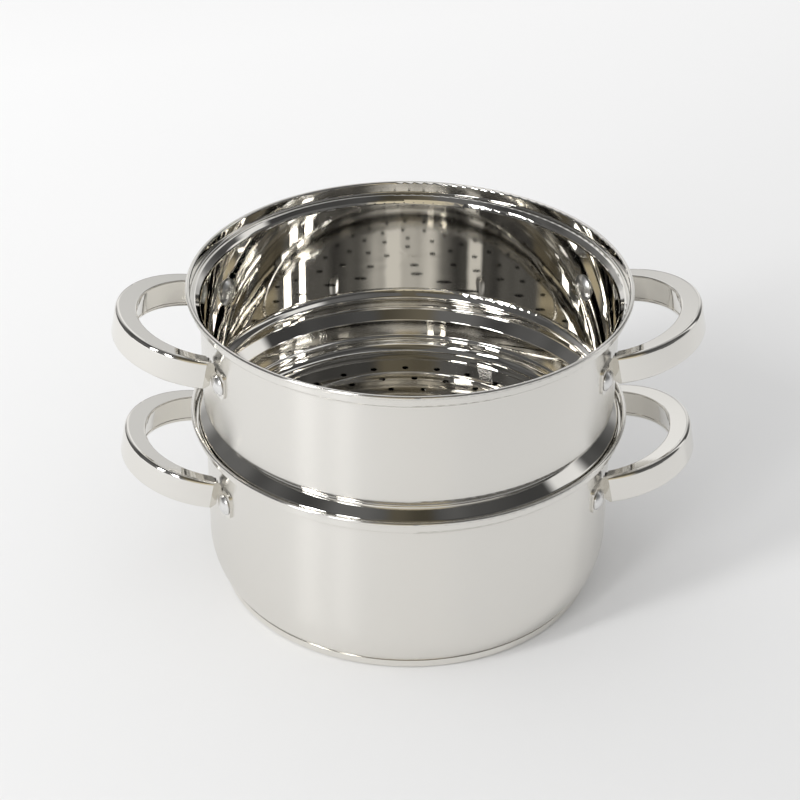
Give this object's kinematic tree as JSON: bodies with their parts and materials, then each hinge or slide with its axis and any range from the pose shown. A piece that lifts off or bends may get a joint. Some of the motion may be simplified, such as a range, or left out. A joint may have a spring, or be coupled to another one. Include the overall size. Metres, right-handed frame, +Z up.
{
  "type": "steamer pot",
  "caption": "Two-tier stainless steel steamer: a casserole pot with a sandwich base and a perforated insert standing in its lid seat, each with riveted loop handles.",
  "frame": {"origin": "middle of the base's underside, where the pot stands", "axes": "+Z up along the vessels' axis, +X towards the right pair of handles, -Y towards the viewer of the picture"},
  "size_m": [0.3278, 0.2448, 0.1845],
  "materials": {
    "polished_steel": "mirror polished stainless steel",
    "satin_steel": "stainless steel, soft satin outside and mirror polished inside and on the rim",
    "aluminium_disc": "plain rolled, hidden inside the base"
  },
  "bodies": {
    "pot": {"pot_body": "satin_steel", "base_core": "aluminium_disc", "base_cap": "polished_steel", "pot_handle_left": "polished_steel", "pot_handle_right": "polished_steel", "pot_handle_liner_left": "polished_steel", "pot_handle_liner_right": "polished_steel", "pot_rivet_right_front": "polished_steel", "pot_rivet_right_back": "polished_steel", "pot_rivet_left_front": "polished_steel", "pot_rivet_left_back": "polished_steel"},
    "steamer": {"steamer_body": "satin_steel", "steamer_handle_left": "polished_steel", "steamer_handle_right": "polished_steel", "steamer_handle_liner_left": "polished_steel", "steamer_handle_liner_right": "polished_steel", "steamer_rivet_right_front": "polished_steel", "steamer_rivet_right_back": "polished_steel", "steamer_rivet_left_front": "polished_steel", "steamer_rivet_left_back": "polished_steel"}
  },
  "joints": [
    {"name": "steamer_lift", "type": "slide", "parent": "pot", "child": "steamer", "axis": [0, 0, 1], "range_m": [0, 0.12]}
  ]
}
